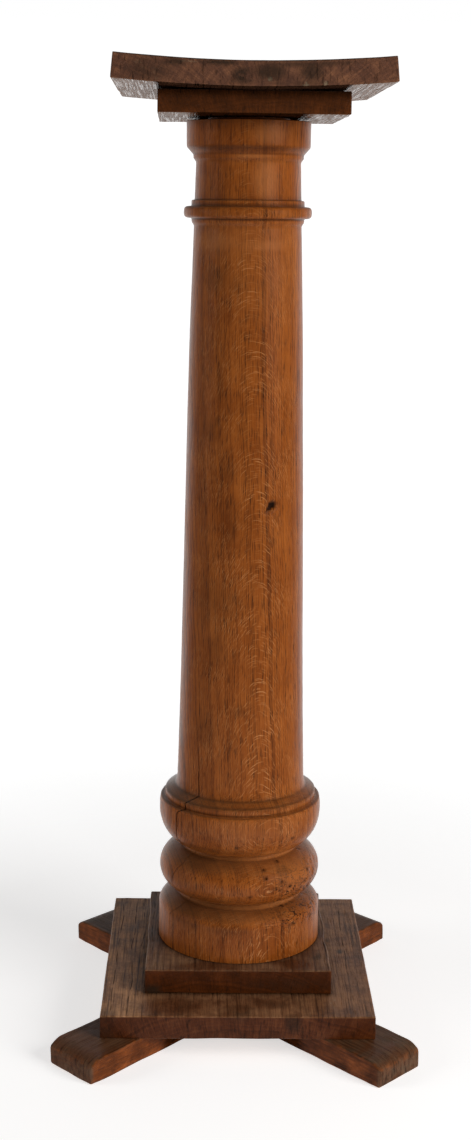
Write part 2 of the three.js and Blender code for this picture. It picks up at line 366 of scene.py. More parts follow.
def worn_board(width, thickness, spacing, seed, splits=()):
    """A board about its own middle, standing on z = 0, with worn arrises and a hand-planed surface.

    Each split opens the grain of its top along a line: across, from and to, and how deep."""
    half = np.array([width, width * grain_ratio, thickness]) / 2
    xs, ys, zs = (grid_lines(-h, h, spacing) for h in half)
    beside_split = [across + step for across, *_ in splits for step in (-1.0, -0.45, 0, 0.45, 1.0)]
    xs = [x for x in xs if min([abs(x - b) for b in beside_split], default=9) > 0.5]
    points, faces = box_grid(np.sort(np.concatenate([xs, beside_split])), ys, zs)
    worn = np.clip(1.2 + 0.45 * unevenness(points, 40, seed), 0.6, 2.4)
    planed = 0.12 * unevenness(points, 50, seed + 1)
    on_top = points[:, 2] > half[2] - 0.01
    opened = np.zeros(len(points))
    shift = np.zeros(len(points))
    for number, (across, start, end, deep) in enumerate(splits):
        away = np.abs(points[:, 0] - across)
        within = smooth(points[:, 1], start - 8, start + 8) * (1 - smooth(points[:, 1], end - 8, end + 8))
        here = points * (0, 1, 0) + (0, 0, 40 * number)
        broken = within * smooth(unevenness(here, 22, seed + 2), -0.9, 0.3)
        shift += (1 - smooth(away, 2, 9)) * 1.2 * unevenness(here, 55, seed + 3)
        opened = np.maximum(opened, broken * on_top * (away < 0.1))
        opened = np.maximum(opened, 0.35 * broken * on_top * (away < 0.6))
        points[:, 2] -= deep * broken * on_top * (away < 0.1)
    points, edge = worn_arrises(points, -half, half, worn)
    points[:, 0] += shift
    inward = points / half
    inward = np.sign(inward) * smooth(np.abs(inward), 0.9, 1)
    points -= inward * (0.12 + planed)[:, None]
    film = smooth(points[:, 2], half[2] - 1.6, half[2] - 0.5)
    return points + (0, 0, half[2]), faces, edge, film, opened


def scoop(points, centre, radius):
    """Wears away what lies inside a ball, as a knock or a chip does."""
    away = points - np.array(centre)
    distance = np.linalg.norm(away, axis=1)
    inside = distance < radius
    points[inside] = np.array(centre) + away[inside] * (radius / distance[inside])[:, None]
    return inside


def patches(points, marks):
    """Soft-edged patches, each given by its middle, its half sizes and its strength."""
    total = 0.0
    for middle, half_sizes, strength in marks:
        distance = np.linalg.norm((points - middle) / half_sizes, axis=1)
        total = np.maximum(total, strength * (1 - smooth(distance, 0.4, 1.4)))
    return total


def beside(points, cad_node, width, reach, is_round=False):
    """How near a point is, in plan, to the square or round end of the piece that stands there."""
    away = points[:, :2] - middle_and_levels(cad_node)[0]
    if is_round:
        gap = np.maximum(np.hypot(away[:, 0], away[:, 1] / oval_ratio) - width / 2, 0)
    else:
        gap = np.linalg.norm(np.maximum(np.abs(away) - (width / 2, width * grain_ratio / 2), 0), axis=1)
    return np.exp(-gap / reach)


board_width = 300
plate_width = 207
oval_ratio = 0.94
foot_diameter = 186.2

middle, level, top = middle_and_levels("base_plate")
points, faces, edge, film, opened = worn_board(board_width, top - level, spacing=2.4, seed=21, splits=(
    (-138.5, -150, 140, 0.5), (-121, -150, 140, 0.6), (-111.5, -30, 140, 0.4), (129, -40, 120, 0.3)))
half_x, half_y = board_width / 2, board_width * grain_ratio / 2
# A nick in the back edge, and ragged breaks along the lower front edge at the left.
for height in (3, 13, 22):
    scoop(points, (14.5 - half_x, half_y + 3.6, height), 6.1)
chip = np.zeros(len(points))
for across in (9, 16, 24, 31):
    chip[scoop(points, (across - half_x, -half_y - 2.6, -3.6), 5.6)] = 0.3
# Two pale flecks at the front right.
for across, along in ((103.3, -123.4), (108.2, -116.3)):
    nearest = np.argmin(np.linalg.norm(points - (across, along, top - level), axis=1))
    chip[nearest] = 1
stain = patches(points, (
    ((122.6, 4.9, 25), (3.2, 6, 9), 0.9), ((110.3, 35.8, 25), (2.6, 5, 9), 0.8),
    ((2, -144, 25), (16, 14, 9), 0.5), ((41, -128, 25), (14, 10, 9), 0.35),
    ((-143, -150, 10), (12, 12, 30), 0.5), ((60, -156, 18), (10, 8, 12), 0.5)))
# The dust film is thinner right of the left strip, which is palest, and thinner still in two
# patches in front of the plinth.
film *= 1 - 0.45 * smooth(points[:, 0], -112, -98)
film *= 1 - patches(points, (((-70, -134, 25), (40, 22, 9), 0.65), ((14, -126, 25), (45, 14, 9), 0.45)))
grain = points.copy()
points += (*middle, level)
# Painted shade beside the plinth, and dark open splits.
add_piece("base_plate", "dusty_oak", base_oak, points, faces, grain, edge=edge,
          film=film, stain=np.maximum(stain, opened), chip=chip,
          grime=np.maximum(beside(points, "plinth_plate", plate_width, reach=4), opened))

middle, level, top = middle_and_levels("plinth_plate")
points, faces, edge, film, opened = worn_board(
    plate_width, top - level, spacing=2.0, seed=31,
    splits=((101.2, -104, 60, 0.8), (-98, -60, 80, 0.3)))
half_x, half_y = plate_width / 2, plate_width * grain_ratio / 2
# The back right corner has chipped off.
for height in (0, 9, 18, 27):
    scoop(points, (half_x + 3, half_y + 3, height), 7.6)
stain = patches(points, (
    ((89.5, -71, 27), (7, 10, 9), 0.75), ((-95, -105, 3), (14, 9, 8), 0.8),
    ((60, -107, 10), (60, 9, 9), 0.35)))
film *= 1 - patches(points, (((-30, -98, 27), (50, 10, 9), 0.5), ((66, -92, 27), (22, 16, 9), 0.8)))
grain = points.copy()
points += (*middle, level)
# Painted shade around the column's foot, and dark open splits.
add_piece("plinth_plate", "dusty_oak", plinth_oak, points, faces, grain, edge=edge,
          film=film, stain=stain, chip=np.zeros(len(points)),
          grime=np.maximum(beside(points, "column", foot_diameter, reach=3, is_round=True), opened))


# Column
# One length of oak, turned between centres: round foot, two fat rings, tapered shaft, astragal,
# neck and capital. Oiled and waxed, it has dried oval and cracked, and worm has been in its foot.

foot_level, head_level = middle_and_levels("column")[1:]
column_height = head_level - foot_level
# The plate above bears on a low round seat, and a dark gap shows over the capital's rim.
seat_radius = 46
seat_height = 3.2
rim_height = column_height - seat_height
axis = middle_and_levels("column")[0]


def arc(centre, reach, start, end, squareness=2.0):
    """Points of a (super)ellipse in the outline, from a start to an end given in quarter turns."""
    turn = np.linspace(start, end, 60) * math.pi / 2
    out = np.abs(np.cos(turn)) ** (2 / squareness)
    up = np.abs(np.sin(turn)) ** (2 / squareness) * np.sign(np.sin(turn))
    return np.stack([centre[0] + reach[0] * out, centre[1] + reach[1] * up], 1)


# The shaft tapers by a sixth of its width, on a slightly swelling line: radius at each height.
shaft = np.array([[73.1, 197], [71.1, 278], [69.2, 419], [66.7, 559], [64.6, 696], [62.8, 765],
                  [60.9, 826.5]])
heights = np.linspace(shaft[0, 1], shaft[-1, 1], 120)
bend = np.polyfit(shaft[:, 1], shaft[:, 0], 4)
outline = np.concatenate([
    [[93.1, 0]],
    arc((72, 37.4), (21.1, 16), 0, 1),
    arc((66.8, 84), (25.8, 24.8), -1, 1),
    arc((63.8, 153.5), (29.6, 39.6), -1, 0),
    arc((91.8, 153.5), (1.6, 12.6), 0, 1),
    [[86.8, 166.5], [86.8, 174.4]],
    arc((76.4, 197), (-3.3, -16.9), 1, 0),
    np.stack([np.polyval(bend, heights), heights], 1)[1:],
    [[63.7, 830.2], [63.7, 834.5]],
    arc((64.3, 841.3), (8.1, 6.8), -1, 1, 3.2),
    [[63.9, 848.2], [63.9, 854.6], [60.3, 855.2], [59.1, 897.6]],
    [[62.2, 901.8], [62.2, 905.6], [69.9, 914.4], [70.2, rim_height]],
    [[seat_radius, rim_height], [seat_radius, column_height]],
])

# Handling has rounded every arris a little: the outline is drawn finely and then softened.
travel = np.concatenate([[0], np.cumsum(np.linalg.norm(np.diff(outline, axis=0), axis=1))])
keep = np.concatenate([[True], np.diff(travel) > 0])
fine_step = 0.2
fine_travel = np.arange(0, travel[-1], fine_step)
outline = np.stack([np.interp(fine_travel, travel[keep], outline[keep, n]) for n in (0, 1)], 1)
softness = 0.4
spread = 10
weight = np.exp(-(np.arange(-spread, spread + 1) * fine_step / softness) ** 2 / 2)
padded = np.pad(outline, ((spread, spread), (0, 0)), mode="edge")
soft = np.stack([np.convolve(padded[:, n], weight / weight.sum(), "valid") for n in (0, 1)], 1)
outline[1:-1] = soft[1:-1]

# Rings of the mesh are close together where the outline bends, in the base and at the knot.
tangent = np.gradient(outline, axis=0)
tangent /= np.linalg.norm(tangent, axis=1, keepdims=True)
bending = np.linalg.norm(np.gradient(tangent, axis=0), axis=1) / fine_step
knot_height = 595.5 - foot_level
crowding = 1 / 4.2 + np.minimum(bending * 2.2, 1.1)
crowding += 0.42 * (outline[:, 1] < 200) + 0.3 * np.exp(-((outline[:, 1] - knot_height) / 12) ** 2)
crowding = np.convolve(np.pad(crowding, 12, mode="edge"), np.ones(25) / 25, "valid")
ring_total = 360
order = np.concatenate([[0], np.cumsum((crowding[1:] + crowding[:-1]) / 2)])
places = np.arange(len(order))
pick = np.interp(np.linspace(0, order[-1], ring_total), order, places)
rings = np.stack([np.interp(pick, places, outline[:, n]) for n in (0, 1)], 1)
ring_radius, ring_height = rings[:, 0], rings[:, 1] + foot_level
ring_up = -np.interp(pick, places, tangent[:, 0])

# The drying crack: degrees from the front at each height above the floor. It follows the rays,
# from the shaft's foot down over every ring.
crack = np.array([
    [320, -42.8], [306, -42.6], [297, -41.7], [278, -41.7], [260, -39.8], [252, -47.3],
    [245.5, -46.1], [241.4, -51.3], [225, -51.3], [208, -55.7], [196, -52.0], [180, -49.8],
    [174, -53.2], [164, -56.1], [156, -58.2], [142, -54.5], [128, -52.8], [117, -59.9],
    [104, -59.6], [90, -61.0], [78, -61.4],
])[::-1]
crack_angle = np.interp(ring_height, crack[:, 0], crack[:, 1])
crack_middle = -51.0
gape = smooth(ring_height, 186, 208) * (1 - smooth(ring_height, 245, 318))
half_width = 0.14 + 0.12 * smooth(ring_height, 60, 130) + 0.42 * gape
crack_depth = 6.0 * (1 - smooth(ring_height, 255, 322)) * (0.45 + 0.55 * smooth(ring_height, 70, 150))

# Columns of the mesh are evenly spaced, with two more beside the crack to make its edges.
side_total = 264
angles = crack_middle + 360 * np.arange(side_total) / side_total
angles = (angles + 180) % 360 - 180
lip_step = 0.4
angles = np.sort(np.concatenate([angles, [crack_middle - lip_step, crack_middle + lip_step]]))
from_crack = np.abs(angles - crack_middle)
pull = 1 - smooth(from_crack, 4, 44)
turn = angles[None, :] + pull[None, :] * (crack_angle - crack_middle)[:, None]
lip = np.where((from_crack > 0.1) & (from_crack < 0.5), np.sign(angles - crack_middle), 0)
lip_angle = np.degrees(half_width / ring_radius)
turn += (lip_angle[:, None] - lip_step) * lip[None, :]
radius = np.repeat(ring_radius[:, None], len(angles), 1)
height = np.repeat(ring_height[:, None], len(angles), 1)
crack_line = from_crack < 0.05
radius[:, crack_line] -= crack_depth[:, None]
# Painted shade: black down the crack, and darker along its lips.
dark = np.zeros_like(radius)
dark[:, crack_line] = (1 - smooth(ring_height, 262, 322))[:, None]
dark[:, lip != 0] = (0.12 + 0.33 * gape)[:, None]


def over_the_turning(about, up):
    """Each mesh point's distance, in millimetres on the surface, from a place on the turning."""
    across = np.radians(turn - about) * radius
    return across, height - up


# Worm holes, by degrees from the front and height: a grid point becomes the bottom of each hole,
# and its eight neighbours the mouth, 1.2 to 1.8 mm wide. Painted shade darkens the mouth and
# blackens the bottom.
hole_depth = 3.5
worm_holes = [(-3.0, 210.9), (18.0, 181.8), (18.8, 173.7), (40.0, 216.0), (34.2, 186.0),
              (37.1, 161.4), (26.0, 161.4), (6.8, 154.9), (40.0, 131.7), (62.0, 116.5),
              (40.1, 116.9), (53.0, 161.5), (70.0, 186.7), (47.0, 152.0), (58.0, 172.0),
              (31.0, 168.5), (150.0, 165.0), (-140.0, 122.0), (118.0, 150.0)]
for number, (about, up) in enumerate(worm_holes):
    across, above = over_the_turning(about, up)
    ring, side = np.unravel_index(np.argmin(across ** 2 + above ** 2), across.shape)
    mouth = 0.6 + 0.15 * (number % 3)
    for k in range(8):
        way = k * math.pi / 4
        i = ring + round(math.sin(way) * 1.3)
        j = (side + round(math.cos(way) * 1.3)) % len(angles)
        turn[i, j] = about + math.degrees(mouth * math.cos(way) / radius[i, j])
        height[i, j] = up + mouth * math.sin(way)
        dark[i, j] = 0.6
    turn[ring, side] = about
    height[ring, side] = up
    radius[ring, side] -= hole_depth
    dark[ring, side] = 1

# A small knot hole on the shaft, with a tail to its lower left, and painted shade in it, darker
# where it is deeper.
for about, up, wide, tall, deep in ((26.8, 595.5, 4.6, 4.2, 4.0), (23.4, 591.0, 3.0, 2.6, 2.4),
                                    (19.8, 587.2, 2.2, 2.0, 1.0)):
    across, above = over_the_turning(about, up)
    near = np.exp(-(across / wide) ** 2 - (above / tall) ** 2)
    radius -= deep * near
    dark = np.maximum(dark, min(1, deep / 2.5) * smooth(near, 0.12, 0.55))

# Old dents and the slight unevenness of a surface that has dried and been handled for long.
bearing = np.radians(turn)
points = np.stack([radius * np.sin(bearing), -radius * np.cos(bearing), height], -1).reshape(-1, 3)
swell = 0.16 * unevenness(points * (1, 1, 0.4), 45, 41) + 0.05 * unevenness(points, 9, 42)
eaten = smooth(turn, 8, 40) * (1 - smooth(turn, 75, 100))
eaten *= smooth(height, 100, 125) * (1 - smooth(height, 170, 192))
pitting = smooth(unevenness(points, 8, 43), 0.5, 1.3).reshape(radius.shape) * eaten
radius = radius - pitting * 0.9 + swell.reshape(radius.shape) * (dark < 0.3)


def soft_spots(spots, total=0.0):
    """Adds soft-edged spots, by degrees, height, half sizes and strength."""
    for about, up, wide, tall, strength in spots:
        across, above = over_the_turning(about, up)
        away = np.hypot(across / wide, above / tall)
        total = np.maximum(total, strength * (1 - smooth(away, 0.3, 1.5)))
    return total


# Old spills and handling have left soft dark smudges. The wide bands at the capital's top under
# the plate and across its bevel, and two low on the foot, are painted shade.
smudge_and_shade = soft_spots([
    (-36, 847, 15, 13, 0.5), (-12, 840, 8, 12, 0.35), (-29, 689, 2.6, 5, 0.75), (-38, 676, 11, 14, 0.4),
    (-17, 633, 11, 14, 0.4), (-27, 735, 5, 22, 0.3), (15, 719, 1.6, 6, 0.75), (10.5, 804, 7, 1.8, 0.5),
    (64, 738, 5, 8, 0.6), (-12, 484, 16, 16, 0.35), (12, 525, 3, 3.4, 0.6), (18, 485, 2.4, 3, 0.6),
    (-30, 484, 30, 26, 0.3), (-3, 362, 8, 7, 0.5), (-36, 337, 14, 18, 0.4), (-25, 433, 9, 26, 0.35),
    (-13, 575, 10, 30, 0.3), (-62, 400, 6, 14, 0.4), (2.8, 760.2, 1.5, 1.5, 1),
    (23.3, 777.8, 1.3, 1.5, 0.9), (-2.2, 1017, 1.7, 1.7, 1), (-18, 128, 26, 9, 0.5),
    (-40, 122, 22, 14, 0.6), (10, 132, 30, 5, 0.3),
    (-35, 184, 22, 9, 0.5), (-10, 186, 18, 5, 0.4), (35, 178, 8, 5, 0.5), (0, 990, 110, 4, 0.6),
    (-30, 203, 60, 5, 0.6), (-30, 147, 60, 5, 0.55), (52, 1005, 60, 26, 0.3),
    (0, 1021, 130, 9, 0.55), (-10, 991, 110, 3, 0.7), (-44, 121, 30, 10, 0.65),
    (-14, 117, 26, 8, 0.5), (-52, 172, 20, 16, 0.4), (-48, 158, 3, 20, 0.5), (-41, 160, 2, 16, 0.45),
])

# Masks: dust on ledges, dirt and painted shade in the hollows, and a painted highlight with wood
# rubbed bare along the crests.
from_left = smooth(-turn, -20, 70)
both_sides = np.maximum(from_left, smooth(turn, 60, 110))
dust = smooth(ring_up, 0.35, 0.9)[:, None] * (0.3 + 0.7 * both_sides)
ledge = smooth(height, 250.5, 252.5) * (1 - smooth(height, 256, 266))
dust = np.maximum(dust, ledge * (0.25 + 0.5 * from_left))
ring_gap = np.gradient(ring_height)
hollow = 0.0
for reach, shallow, deep in ((9.0, 0.8, 6.5), (3.2, 0.2, 1.3), (1.6, 0.08, 0.5)):
    window = np.exp(-((ring_height[:, None] - ring_height[None, :]) / reach) ** 2) * ring_gap
    around = window @ ring_radius / window.sum(1)
    wide_only_low = (reach < 5) | (ring_height < 300)
    hollow = np.maximum(hollow, smooth(around - ring_radius, shallow, deep) * wide_only_low)
# Painted shade under the rings' overhangs and at the ledge's rim, less on the lit right side.
overhung = 1 - smooth(ring_up, -0.45, -0.1) * (ring_height < 245)
rim_line = np.exp(-((ring_radius - 85) / 1.6) ** 2) * (np.abs(ring_height - 253) < 2)
less_shade_right = 1 - 0.45 * smooth(turn, 15, 60) * (height < 300)
grime = np.maximum(hollow * overhung, rim_line)[:, None] * less_shade_right
# Lighter crests and rubbed patches: partly wear, partly painted highlight and sheen.
crest = sum(np.exp(-((ring_height - h) / 3) ** 2) for h in (189.6, 134.4))
rub_and_highlight = soft_spots([
    (17, 1006, 18, 12, 0.7), (17, 956, 15, 24, 0.8), (18, 884, 34, 7, 0.7), (-40, 888, 40, 12, 0.7),
    (4, 981.6, 24, 2.4, 0.8), (30, 850, 20, 30, 0.3), (8, 128, 30, 8, 0.3), (28, 196, 20, 9, 0.4),
    (0, 890, 130, 20, 0.3), (30, 850, 60, 60, 0.2), (45, 176, 40, 16, 0.5), (10, 236, 60, 16, 0.25),
], crest[:, None])

# The foot and the head are closed by rings that shrink to the axis.
shrink = np.array([[0.93], [0.6], [0.25]])
ends = ((len(shrink), len(shrink)), (0, 0))
closed_radius = np.concatenate([radius[0] * shrink[::-1], radius, radius[-1] * shrink])
closed_turn = np.radians(np.pad(turn, ends, mode="edge"))
points = np.stack([closed_radius * np.sin(closed_turn), -closed_radius * np.cos(closed_turn),
                   np.pad(height, ends, mode="edge")], -1)
number = np.arange(points[..., 0].size).reshape(points.shape[:2])
points = points.reshape(-1, 3)
right = np.roll(number, -1, 1)
quads = np.stack([number[:-1], right[:-1], right[1:], number[1:]], -1).reshape(-1, 4).tolist()
foot_centre, head_centre = len(points), len(points) + 1
points = np.concatenate([points, [[0, 0, foot_level], [0, 0, head_level]]])
faces = quads + [[foot_centre, b, a] for a, b in zip(number[0], right[0])]
faces += [[head_centre, a, b] for a, b in zip(number[-1], right[-1])]


def turned_oak():
    """Quarter-figured oak, turned and waxed: broad rays flash as light flecks where they lie flat."""
    material = bpy.data.materials.new("turned_oak_waxed")
    tree = blank_tree(material)
    grain = node(tree, "Attribute", attribute_name="grain").outputs["Vector"]
    x, y, z = node(tree, "SeparateXYZ", {0: grain}).outputs

    # Noise, each kind with its size in mm to the side, to the back and up, its detail and its
    # roughness. Pores are 0.3 mm wide in life, and drawn 1.3 mm wide so that they show.
    noise = {}
    for kind, size, detail, roughness in (
            ("sway", (22, 22, 22), 1.0, 0.5), ("wander", (90, 90, 90), 2.0, 0.5),
            ("pores", (1.3, 1.3, 14), 2.0, 0.5), ("streaks", (10, 10, 120), 3.0, 0.5),
            ("blotches", (48, 48, 48), 5.0, 0.6), ("clusters", (30, 30, 30), 1.0, 0.5),
            ("furrows", (3.4, 3.4, 1.8), 2.0, 0.5)):
        place = node(tree, "VectorMath", {0: grain, 1: tuple(1 / s for s in size)}, operation="MULTIPLY")
        noise[kind] = node(tree, "TexNoise", {
            "Vector": place, "Scale": 1.0, "Detail": detail, "Roughness": roughness})

    # The tree's pith runs beside the column, 450 mm to the right. It is 68 mm behind the axis at
    # 250 mm above the floor, and leans forward going up, by 0.12 mm in each mm there.
    pith_side = 450.0
    up = node(tree, "Math", {0: z, 1: 250.0}, operation="SUBTRACT")
    lean = node(tree, "Math", {0: up, 1: 0.0000887, 2: 0.12}, operation="MULTIPLY_ADD")
    lean = node(tree, "Math", {0: lean, 1: up}, operation="MULTIPLY")
    pith_back = node(tree, "Math", {0: 68.0, 1: lean}, operation="SUBTRACT")
    forward = node(tree, "Math", {0: y, 1: pith_back}, operation="SUBTRACT")
    sideways = node(tree, "Math", {0: pith_side, 1: x}, operation="SUBTRACT")
    bearing = node(tree, "Math", {0: forward, 1: sideways}, operation="ARCTAN2")
    across_rays = node(tree, "Math", {0: bearing, 1: pith_side}, operation="MULTIPLY")
    flat = node(tree, "CombineXYZ", {"X": sideways, "Y": forward})
    from_pith = node(tree, "VectorMath", {0: flat}, operation="LENGTH").outputs["Value"]

    # Rays: thin upright sheets that point at the pith. Each is a flat lens in a cell of its own,
    # first broad ones 1.1 mm apart, then small ones 0.9 mm apart. They are 0.1 to 0.3 mm thick.
    across = node(tree, "Math", {0: noise["sway"], 1: 1.6, 2: across_rays}, operation="MULTIPLY_ADD")
    in_rays = node(tree, "CombineXYZ", {"X": across, "Y": from_pith, "Z": z})
    flecks = []
    for cell, flatness in (((1.1, 18, 11), 7.0), ((0.9, 9, 5), 3.2)):
        cells = node(tree, "VectorMath", {0: in_rays, 1: tuple(1 / c for c in cell)}, operation="MULTIPLY")
        middle = node(tree, "TexVoronoi", {"Vector": cells, "Scale": 1.0}).outputs["Position"]
        away = node(tree, "VectorMath", {0: cells, 1: middle}, operation="SUBTRACT")
        away = node(tree, "VectorMath", {0: away, 1: (flatness, 1.0, 1.0)}, operation="MULTIPLY")
        away = node(tree, "VectorMath", {0: away}, operation="LENGTH").outputs["Value"]
        flecks.append(node(tree, "MapRange", {"Value": away, "From Min": 0.52, "From Max": 0.3},
                           interpolation_type="SMOOTHSTEP"))

    # Growth rings stand upright as fine lines: early wood is dark with pores. They are some 2 mm
    # apart in life, and drawn over 3 mm apart so that they show.
    year_width = 3.1
    ring = node(tree, "Math", {0: noise["wander"], 1: 9.0, 2: from_pith}, operation="MULTIPLY_ADD")
    uneven = node(tree, "TexNoise", {"W": ring, "Scale": 0.11, "Detail": 2.0}, noise_dimensions="1D")
    ring = node(tree, "Math", {0: uneven, 1: 14.0, 2: ring}, operation="MULTIPLY_ADD")
    years = node(tree, "Math", {0: ring, 1: year_width}, operation="DIVIDE")
    phase = node(tree, "Math", {0: years, 1: 0.5}, operation="PINGPONG")
    early = node(tree, "MapRange", {"Value": phase, "From Min": 0.22, "From Max": 0.02},
                 interpolation_type="SMOOTHSTEP")
    year_tone = node(tree, "TexNoise", {"W": years, "Scale": 0.55, "Detail": 2.0}, noise_dimensions="1D")
    pores, furrows = (
        node(tree, "MapRange", {"Value": noise[kind], "From Min": low, "From Max": high},
             interpolation_type="SMOOTHSTEP")
        for kind, low, high in (("pores", 0.5, 0.7), ("furrows", 0.54, 0.63)))
    tone = 0.0
    for part, weight in ((year_tone, 0.35), (noise["streaks"], 0.5), (noise["blotches"], 0.7)):
        tone = node(tree, "Math", {0: part, 1: weight, 2: tone}, operation="MULTIPLY_ADD")
    tone = node(tree, "MapRange", {"Value": tone, "From Min": 0.52, "From Max": 1.04})
    wood = node(tree, "ValToRGB", {0: tone}, stops=[
        (0.0, linear("823f10")), (0.5, linear("9c521b")), (1.0, linear("b06225"))])
    open_grain = node(tree, "Math", {0: early, 1: 0.42}, operation="MULTIPLY")
    open_grain = node(tree, "Math", {0: pores, 1: 0.5, 2: open_grain}, operation="MULTIPLY_ADD",
                      use_clamp=True)

    # Ray flecks come in clusters, and fade towards the head.
    clusters = node(tree, "MapRange", {"Value": noise["clusters"], "From Min": 0.4, "From Max": 0.6,
                                       "To Min": 0.25})
    fading = node(tree, "MapRange", {"Value": z, "From Min": 880.0, "From Max": 990.0, "To Min": 1.0,
                                     "To Max": 0.35})
    clusters = node(tree, "Math", {0: clusters, 1: fading}, operation="MULTIPLY")

    # Worm has eaten fine pits and short furrows in the foot's right side.
    eaten = node(tree, "Attribute", attribute_name="eaten").outputs["Fac"]
    furrows = node(tree, "Math", {0: furrows, 1: eaten}, operation="MULTIPLY")

    # On the wood lie open grain, ray flecks and worm furrows, crests rubbed bare with painted
    # highlight, painted shade with some dirt in the hollows, dust on the ledges, smudges with bands
    # of painted shade, and painted shade in black in cracks and holes.
    layers = [(open_grain, 1.0, "35180a")]
    for fleck, amount, colour in zip(flecks, (0.76, 0.48), ("d9965c", "cc844a")):
        fleck = node(tree, "Math", {0: fleck, 1: clusters}, operation="MULTIPLY")
        layers.append((fleck, amount, colour))
    layers.append((furrows, 1.0, "2a1408"))
    for mask, amount, colour in (
            ("rub_and_highlight", 0.62, "bf7640"), ("grime", 0.6, "381a0a"), ("dust", 0.6, "5c4630"),
            ("smudge_and_shade", 0.62, "2c1608"), ("dark", 0.95, "120906")):
        worn = node(tree, "Attribute", attribute_name=mask).outputs["Fac"]
        layers.append((worn, amount, colour))
    surface = wood
    for layer, amount, colour in layers:
        share = node(tree, "Math", {0: layer, 1: amount}, operation="MULTIPLY")
        surface = node(tree, "Mix", {"Factor": share, "A": surface, "B": linear(colour)}, data_type="RGBA")

    gloss = node(tree, "MapRange", {"Value": noise["blotches"], "From Min": 0.3, "From Max": 0.7,
                                    "To Min": 0.3, "To Max": 0.42})
    relief = node(tree, "Math", {0: noise["streaks"], 1: pores}, operation="SUBTRACT")
    relief = node(tree, "Math", {0: furrows, 1: -2.0, 2: relief}, operation="MULTIPLY_ADD")
    bump = node(tree, "Bump", {"Height": relief, "Strength": 0.35, "Distance": 0.2 * MM})
    shader = node(tree, "BsdfPrincipled", {
        "Base Color": surface, "Roughness": gloss, "IOR": 1.48, "Specular IOR Level": 0.5,
        "Normal": bump})
    node(tree, "OutputMaterial", {"Surface": shader})
    return material


grain = points.copy()
points[:, 1] *= oval_ratio
points[:, :2] += axis
masks = {"dark": dark, "dust": dust, "grime": grime, "rub_and_highlight": rub_and_highlight, "smudge_and_shade": smudge_and_shade, "eaten": eaten}
# The masks are nought on the closed ends.
masks = {mask: np.append(np.pad(values, ends), [0, 0]) for mask, values in masks.items()}
add_piece("column", "turned_oak", turned_oak(), points, faces, grain, sharp=48, **masks)


# Upper plate and top board
# A square plate bears on the capital and carries the large top board, which has cupped across its
# grain so that its left and right sides curl up. Both are stained oak, rough sawn underneath.

# Stained oak with a low sheen: dark red brown edges, greyer on the top board, and bare brown wood
# underneath.
upper_oak = board_oak("upper_oak_stained", light="7b411b", mid="592e11", dark="371e0c",
                      dusty=("6a5848", "4a3a2e"), pith=(30.0, -240.0, 0.03), rings=0.2, rays=0.7)
top_oak = board_oak("top_oak_stained", light="a06c4c", mid="724b38", dark="46322a",
                    dusty=("6a5848", "4a3a2e"), pith=(20.0, -45.0, 0.03))


def over_piece(points, cad_node, width, fade):
    """How far a point lies, from side to side, over the piece that stands there."""
    away = np.abs(points[:, 0] - middle_and_levels(cad_node)[0][0])
    return 1 - smooth(away, width / 2 - fade, width / 2)


head_diameter = 140.4
middle, level, top = middle_and_levels("upper_plate")
upper_turn = math.radians(1.1)
points, faces, edge, film = worn_board(plate_width, top - level, spacing=2.0, seed=51)[:4]
grain = points.copy()
points = turned_and_placed(points, upper_turn, middle, level)
# Painted shadow along the top under the top board, and painted shade on the underside over the capital.
under_board = smooth(points[:, 2], top - 12, top)
over_capital = over_piece(points, "column", head_diameter, fade=14) * (points[:, 2] < level + 1)
blank = np.zeros(len(points))
add_piece("upper_plate", "dark_oak", upper_oak, points, faces, grain, edge=edge,
          film=film, stain=blank, chip=blank, grime=np.maximum(over_capital, under_board))

middle, level = middle_and_levels("top_board")[:2]
top_turn = math.radians(0.8)
top_thickness = 27.1
cup_rise = 6.9
bend_radius = (board_width / 2) ** 2 / (2 * cup_rise)
points, faces, edge, film = worn_board(board_width, top_thickness, spacing=2.4, seed=61)[:4]
front = -board_width * grain_ratio / 2
# Knocks along the front edge, scratches, and spills that have run down the front.
chip = np.zeros(len(points))
for x, z in ((15.4, 6.9), (52.7, 1.3), (72.2, 2.6)):
    chip[scoop(points, (x, front - 3.4, z), 4.4)] = 1
chip = np.maximum(chip, patches(points, (
    ((58.4, front, 18), (1.2, 2, 4), 0.5), ((-123, front, 19), (7, 2, 3), 0.45),
    ((-117, front, 13), (5, 2, 4), 0.35), ((-105, front, 12), (3, 2, 6), 0.4),
    ((-102, front, 4), (3, 2, 3), 0.45), ((-70, front, 23.4), (16, 2, 1.2), 0.6),
    ((-143, front, 20), (3, 2, 3), 0.3))))
stain = patches(points, (
    ((-36, front, 23.5), (22, 4, 3), 0.8), ((-12, front, 11), (13, 4, 9), 0.8),
    ((16, front, 15), (18, 4, 10), 0.75), ((59, front, 15), (13, 4, 11), 0.7),
    ((-112, front, 12), (24, 4, 11), 0.4), ((-85, front, 22), (14, 4, 4), 0.7),
    ((60, front, 22.5), (60, 4, 2.5), 0.6), ((48, front, 3), (30, 4, 3), 0.4),
    ((-60, front, 27), (110, 4, 1.5), 0.7), ((60, front, 27), (110, 4, 1.5), 0.7)))
grain = points.copy()
underneath = points[:, 2] < 0.6
# Bent to a shallow arc across the grain.
angle = points[:, 0] / bend_radius
reach = bend_radius - points[:, 2]
points = np.stack([reach * np.sin(angle), points[:, 1], bend_radius - reach * np.cos(angle)], 1)
points = turned_and_placed(points, top_turn, middle, level)
# Painted shade darkens the underside across the width of the upper plate, in front of it too.
add_piece("top_board", "dark_oak", top_oak, points, faces, grain, edge=edge,
          film=film, stain=stain, chip=chip,
          grime=over_piece(points, "upper_plate", plate_width + 4, fade=5) * underneath)


# Floor
# A plain pale studio floor of paper, wide enough to run out of the picture.

